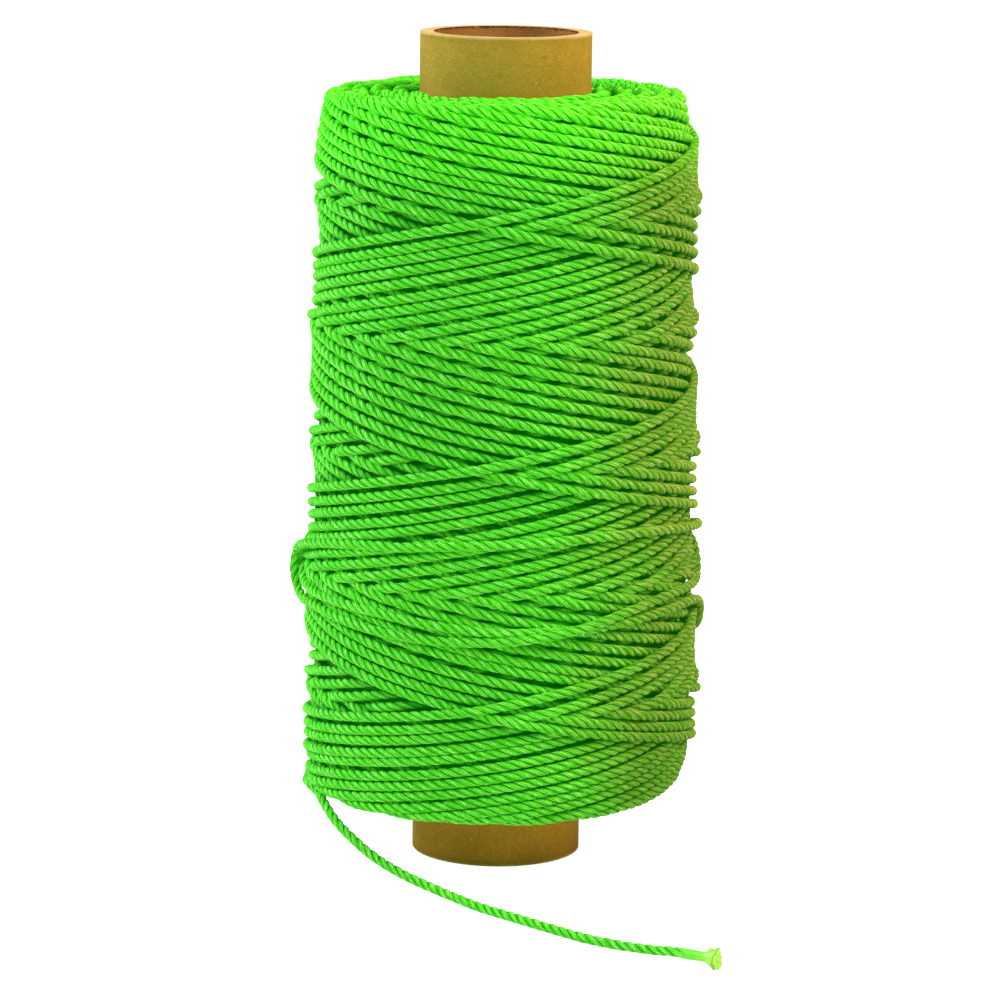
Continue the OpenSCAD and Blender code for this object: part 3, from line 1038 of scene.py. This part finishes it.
def nylon_material(strands):
    """Fluorescent green nylon: painted shade between strands and yarns, painted fibre highlights.

    A painted green glow keeps the hollows green, and painted shade darkens them with depth.
    A painted warm reflection tints one side of the line, less so near the head, and painted
    shade darkens that side at the foot. The free end lies too low for the reflection, and
    painted light brightens the head.
    """
    # Painted green glow, which keeps the hollows green
    material, g, shader = new_material("fluorescent_nylon", 0.07, PAINTED_GLOW)
    uv = g.parts(g.add("UVMap").outputs[0])
    pattern = g.add("Group", {"Around": uv[0], "Along": uv[1]}, node_tree=strands).outputs
    place = g.add("TexCoord").outputs["Object"]
    bright = g.mix(g.ramp(g.noise(place, 45.0, 2.0), 0.35, 0.65), *DYED_TONES)
    # Painted highlight on the fibre streaks
    streaked = g.mix(g.ramp(pattern["Fibres"], 0.46, 0.64), bright, FIBRE_HIGHLIGHT)
    # Painted shade in the grooves between the yarns
    groove_shade = g.times(g.math("SUBTRACT", 1.0, pattern["Yarn"]), 0.85)
    streaked = g.mix(groove_shade, streaked, YARN_GROOVE_SHADE)
    # Painted shade in the valleys between the strands
    colour = g.mix(pattern["Strand"], STRAND_VALLEY_SHADE, streaked)
    # Painted shade in the hollows, growing with the depth inside the winding
    depth = g.add("Attribute", attribute_name="depth").outputs["Fac"]
    colour = g.mix(g.ramp(depth, 0.7, 2.8), colour, HOLLOW_SHADE)
    # Painted warm reflection on one side of the line, towards +X, less near the head
    toward = g.add("VectorMath", {0: place, 1: WARM_REFLECTION_SIDE}, operation="DOT_PRODUCT")
    uneven = g.scatter(g.noise(place, 90.0), WARM_REFLECTION_UNEVEN)
    painted_reflection = g.ramp(g.math("ADD", toward.outputs["Value"], uneven), *WARM_REFLECTION_REACH, 0.0, 0.9)
    height = g.parts(place)[2]
    painted_reflection = g.times(painted_reflection, g.ramp(height, *WARM_REFLECTION_ABOVE))
    painted_reflection = g.times(painted_reflection, g.ramp(height, *FULL_WARM_REFLECTION_BELOW, 0.4, 1.0))
    colour = g.tint(painted_reflection, colour, WARM_REFLECTION)
    # Painted shade at the foot, on the side with the painted warm reflection
    colour = g.tint(g.times(painted_reflection, g.ramp(height, *FOOT_SHADE_BELOW)), colour, FOOT_SHADE)
    # Painted light that brightens the line towards the head
    colour = g.tint(g.ramp(height, *HEAD_LIGHT_ABOVE), colour, HEAD_LIGHT)
    roughness = g.ramp(pattern["Fibres"], 0.3, 0.7, 0.55, 0.36)
    finish_material(g, shader, colour, roughness, pattern["Height"], 0.9, 0.12 * MM)
    return material


def inner_nylon_material():
    """The inner layers seen through the hollows: deep green with bands like line in shadow."""
    # Painted green glow, as on the line
    material, g, shader = new_material("inner_nylon", glow=PAINTED_GLOW)
    waves = {"Vector": g.add("TexCoord").outputs["Object"], "Scale": 280.0, "Distortion": 3.0}
    bands = g.add("TexWave", waves, bands_direction="Z").outputs["Fac"]
    roughness = g.ramp(bands, 0.0, 1.0, 0.8, 0.6)
    # Dark tones that paint the shade on the inner layers
    finish_material(g, shader, g.mix(bands, *INNER_TONES), roughness, bands, 0.6, 0.4 * MM)
    return material


def melted_nylon_material(strands):
    """Melted nylon: green like the line at the neck, yellower on the flare, scorched at its rim."""
    material, g, shader = new_material("melted_nylon")
    around, level, _ = g.parts(g.add("UVMap").outputs[0])
    neck = {"Around": around, "Along": g.times(level, TIP_LENGTH / LAY_LENGTH)}
    pattern = g.add("Group", neck, node_tree=strands).outputs
    lumps = g.noise(g.add("TexCoord").outputs["Object"], 1800.0)
    solid = g.ramp(level, -0.45, 0.0)
    # Painted shade in the valleys between the neck's strands
    line = g.mix(g.math("MAXIMUM", pattern["Strand"], solid), *NECK_TONES)
    melted = g.mix(g.ramp(lumps, 0.35, 0.65), *MELTED_TONES)
    body = g.mix(g.ramp(level, 0.15, 0.75), line, melted)
    uneven = g.math("ADD", level, g.scatter(lumps, 0.5))
    scorch = g.times(g.ramp(uneven, 0.92, 1.02), g.ramp(uneven, 1.12, 1.04))
    colour = g.mix(g.times(scorch, 0.6), body, SCORCHED)
    roughness = g.ramp(lumps, 0.3, 0.7, 0.25, 0.45)
    height = g.mix(solid, pattern["Height"], lumps)
    finish_material(g, shader, colour, roughness, height, 0.5, 0.15 * MM)
    return material


def paper_material(name, fibres, tones, edge=None, torn=0.0):
    """Matt recycled paper in a dark and a light tone, with its grain, fibres and specks.

    With an edge colour, the last fifth of a millimetre at the core's ends is cut paper, the
    last millimetre is worn in brown spots, and the paper turns warmer and lighter towards the
    foot. Where the grain is below `torn`, the cut edge is missing.
    """
    material, g, shader = new_material(name, 0.15)
    place = g.add("TexCoord").outputs["Object"]
    pattern = g.add("Group", {"Vector": place}, node_tree=fibres).outputs
    mottle, grain = pattern["Mottle"], pattern["Grain"]
    colour = g.mix(g.ramp(mottle, 0.3, 0.7), *tones)
    pale = tuple(min(1.0, 1.7 * c + 0.05) for c in tones[1][:3]) + (1,)
    brown = tuple(0.35 * c for c in tones[0][:3]) + (1,)
    marks = {"Fibres": (0.25, pale), "Pale Specks": (0.6, pale), "Dark Specks": (0.3, brown)}
    for label, (share, other) in marks.items():
        colour = g.mix(g.times(pattern[label], share), colour, other)
    if edge is not None:
        height = g.parts(place)[2]
        # Warmer, lighter tone towards the foot
        colour = g.tint(g.ramp(height, *FOOT_WARMTH_BELOW), colour, FOOT_WARMTH)
        end = CORE_LENGTH / 2
        from_middle = g.math("ABSOLUTE", g.math("SUBTRACT", height, end))
        worn = g.ramp(from_middle, end - 1.4 * MM, end - 0.3 * MM)
        worn = g.times(worn, g.ramp(grain, 0.54, 0.60))
        colour = g.mix(g.times(worn, 0.8), colour, brown)
        reach = g.math("ADD", from_middle, g.times(mottle, 0.4 * MM))
        cut = g.ramp(reach, end - 0.2 * MM, end + 0.2 * MM)
        colour = g.mix(g.times(cut, g.ramp(grain, torn, torn + 0.06)), colour, edge)
    colour = g.mix(1.0, colour, g.ramp(grain, 0.25, 0.75, 0.80, 1.20), "MULTIPLY")
    roughness = g.ramp(grain, 0.3, 0.7, 0.9, 0.75)
    finish_material(g, shader, colour, roughness, grain, 0.25, 0.1 * MM)
    return material


def dress_core(fibres):
    """Gives the four plies of the core their papers."""
    face = paper_material("core_face_paper", fibres, FACE_TONES, FACE_EDGE)
    board = paper_material("core_board", fibres, BOARD_TONES)
    liner = paper_material("core_liner_paper", fibres, LINER_TONES, LINER_EDGE, 0.42)
    papers = {"face": face, "outer_board": board, "inner_board": board, "liner": liner}
    for ply, paper in papers.items():
        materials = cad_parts[f"core_{ply}_ply"].data.materials
        materials.clear()
        materials.append(paper)


# ---- The whole spool ----

bpy.context.scene.view_settings.view_transform = "Standard"
add_camera()
strands = twisted_strands_group()
nylon = nylon_material(strands)
free_end, free_path, at_butt = add_tail(nylon)
tip = add_fused_tip(at_butt, melted_nylon_material(strands))
add_winding(nylon)
add_inner_winding(inner_nylon_material())
dress_core(paper_fibres_group())
add_lights()
add_world()
add_floor()
